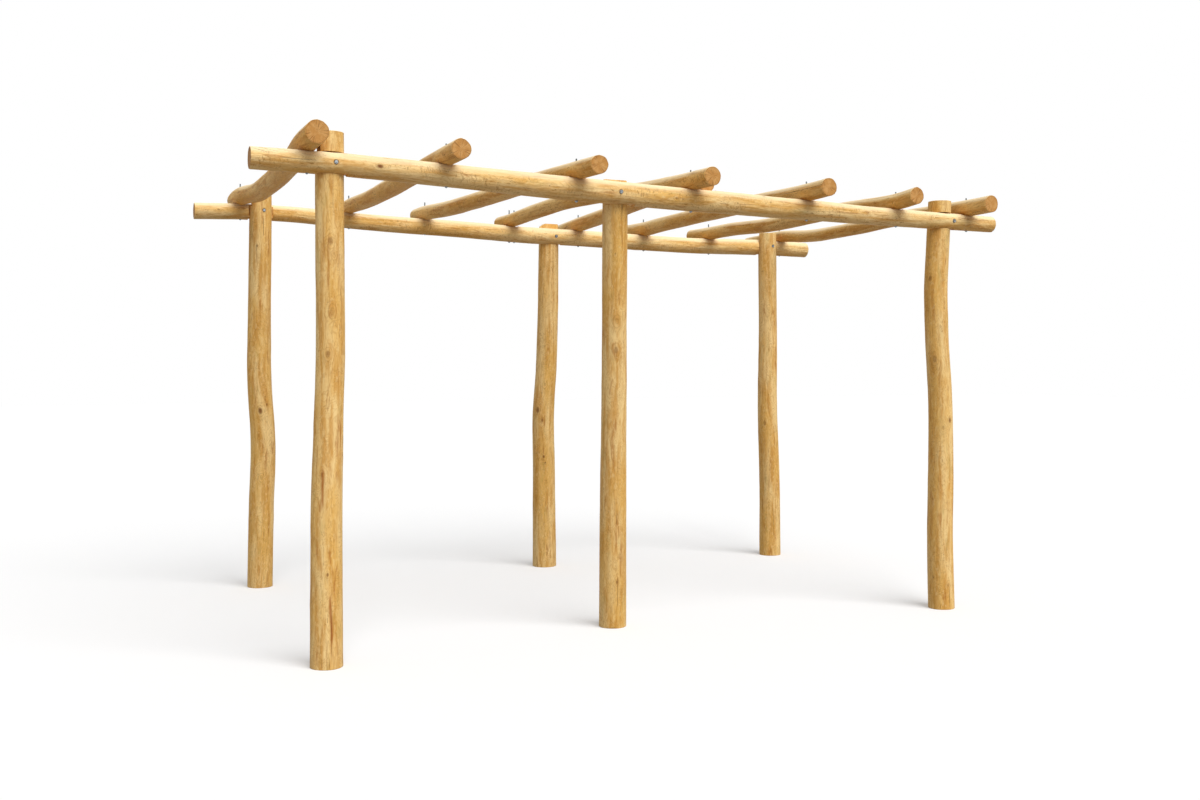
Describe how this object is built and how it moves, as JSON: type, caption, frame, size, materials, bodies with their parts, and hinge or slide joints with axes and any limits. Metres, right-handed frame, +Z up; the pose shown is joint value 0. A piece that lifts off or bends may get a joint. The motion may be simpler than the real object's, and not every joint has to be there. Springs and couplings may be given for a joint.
{
  "type": "wooden pergola",
  "caption": "Free-standing open garden pergola of bent, debarked round logs: posts carry lapped beams, and rafters lie across them, held by bolts and threaded rods.",
  "frame": {"origin": "on the ground, under the middle of the whole pergola's box", "axes": "+X along the beams from the left posts to the right posts, +Y from the front row to the back row, +Z up"},
  "size_m": [4.273, 2.8802, 2.4345],
  "materials": {
    "post_log": "hand-peeled round log, dry, unfinished",
    "beam_log": "hand-peeled round log, dry, unfinished",
    "rafter_log": "hand-peeled round log, dry, unfinished",
    "zinc_fixing": "dull zinc-plated"
  },
  "bodies": {
    "root": {"back_beam": "beam_log", "back_left_bolt": "zinc_fixing", "back_left_post": "post_log", "back_middle_bolt": "zinc_fixing", "back_middle_post": "post_log", "back_right_bolt": "zinc_fixing", "back_right_post": "post_log", "front_beam": "beam_log", "front_left_bolt": "zinc_fixing", "front_left_post": "post_log", "front_middle_bolt": "zinc_fixing", "front_middle_post": "post_log", "front_right_bolt": "zinc_fixing", "front_right_post": "post_log", "rafter_1": "rafter_log", "rafter_1_rods": "zinc_fixing", "rafter_2": "rafter_log", "rafter_2_rods": "zinc_fixing", "rafter_3": "rafter_log", "rafter_3_rods": "zinc_fixing", "rafter_4": "rafter_log", "rafter_4_rods": "zinc_fixing", "rafter_5": "rafter_log", "rafter_5_rods": "zinc_fixing", "rafter_6": "rafter_log", "rafter_6_rods": "zinc_fixing", "rafter_7": "rafter_log", "rafter_7_rods": "zinc_fixing", "rafter_8": "rafter_log", "rafter_8_rods": "zinc_fixing"}
  },
  "joints": []
}
